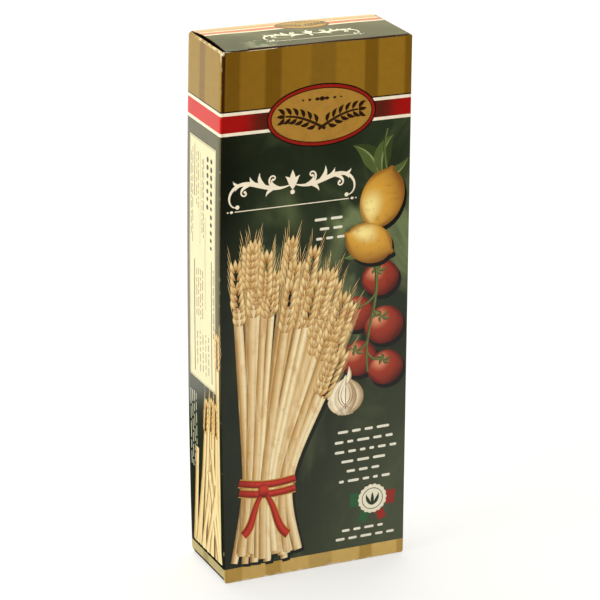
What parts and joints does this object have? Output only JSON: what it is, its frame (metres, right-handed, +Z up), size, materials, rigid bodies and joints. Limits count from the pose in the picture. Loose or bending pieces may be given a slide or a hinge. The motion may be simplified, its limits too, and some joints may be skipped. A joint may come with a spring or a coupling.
{
  "type": "breadstick carton",
  "caption": "Tall shut tuck-end card carton for thin breadsticks, with a striped gold header, red and white bands and a dark green printed body.",
  "frame": {"origin": "centre of the bottom of the bounding box, on the ground", "axes": "+X to the right along the wide front, the front faces -Y, +Z up"},
  "size_m": [0.0898, 0.039, 0.2419],
  "materials": {
    "printed_board": "glossy dark green print on folding board",
    "gold_ink": "glossy gold print in vertical stripes",
    "red_ink": "glossy red print",
    "white_ink": "glossy unprinted white of the coated board",
    "picture_ink": "glossy four-colour print",
    "board_edge": "bare cut and worn board, matt"
  },
  "bodies": {
    "root": {"carton": "printed_board"}
  },
  "joints": []
}
